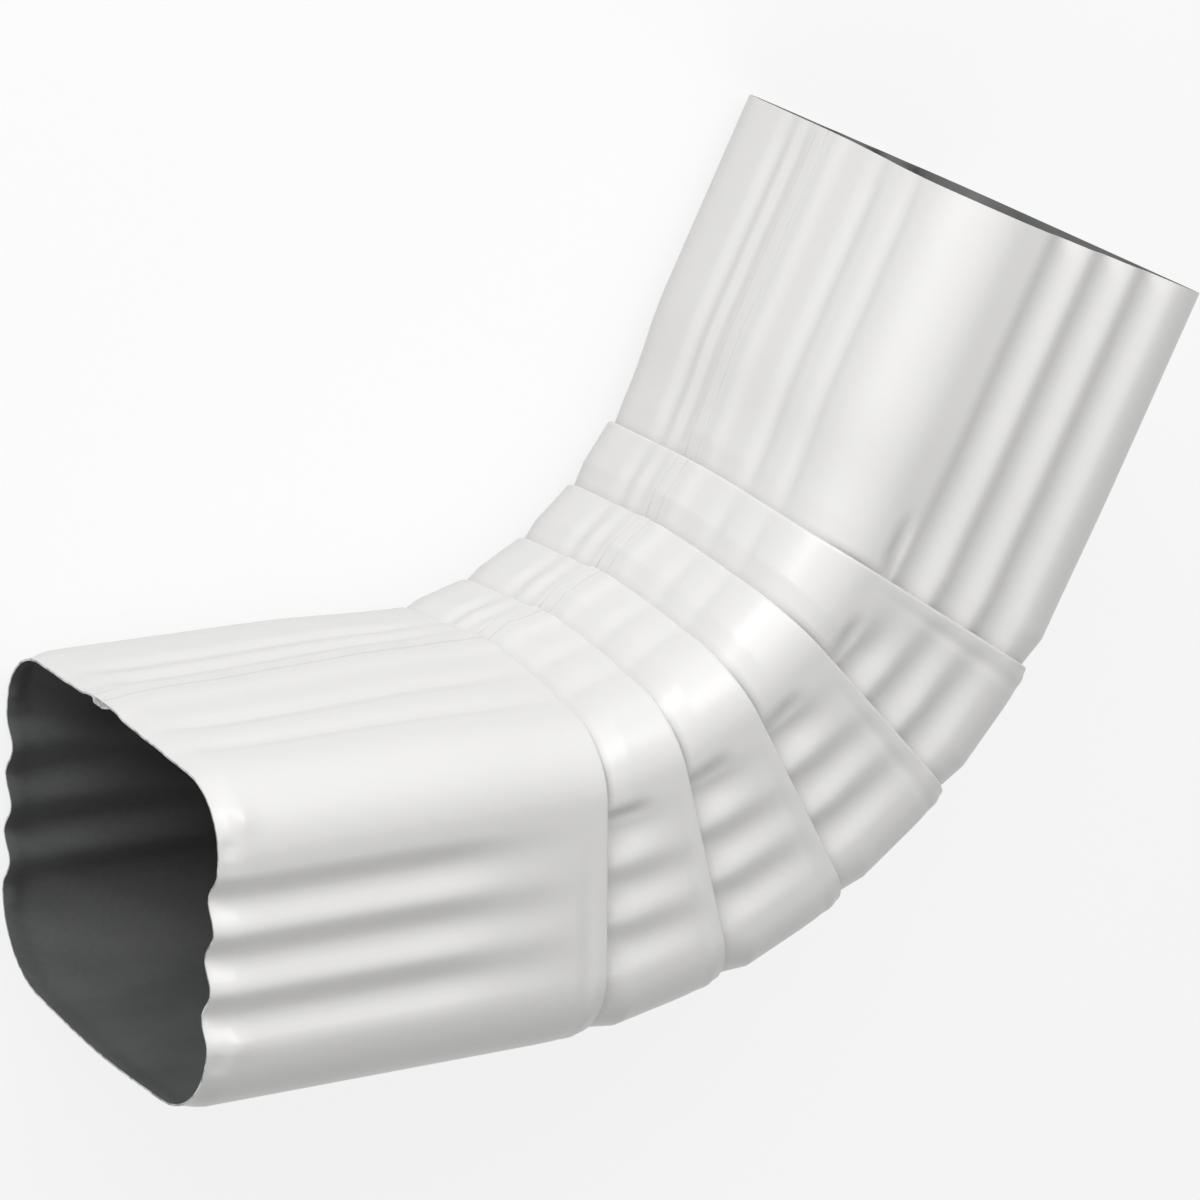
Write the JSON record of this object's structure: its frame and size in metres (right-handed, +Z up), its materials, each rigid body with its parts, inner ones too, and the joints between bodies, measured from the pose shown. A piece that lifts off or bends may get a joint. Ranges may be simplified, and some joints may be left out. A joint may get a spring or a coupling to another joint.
{
  "type": "downspout elbow",
  "caption": "Rectangular rainwater pipe elbow folded from one painted sheet, with corrugated sides, pleated inner bend and a lock seam.",
  "frame": {"origin": "on the surface that the elbow lies on, under the middle of its bounding box", "axes": "+Z up from the far side that it lies on; +Y along the inlet limb, out of its mouth; the outlet limb points down and left in plan, 66.5 degrees short of straight"},
  "size_m": [0.2132, 0.2636, 0.1098],
  "materials": {
    "painted_sheet": "white semi-gloss baked enamel outside, dull grey wash coat inside, bare sheet edge at both mouths"
  },
  "bodies": {
    "root": {"elbow": "painted_sheet"}
  },
  "joints": []
}
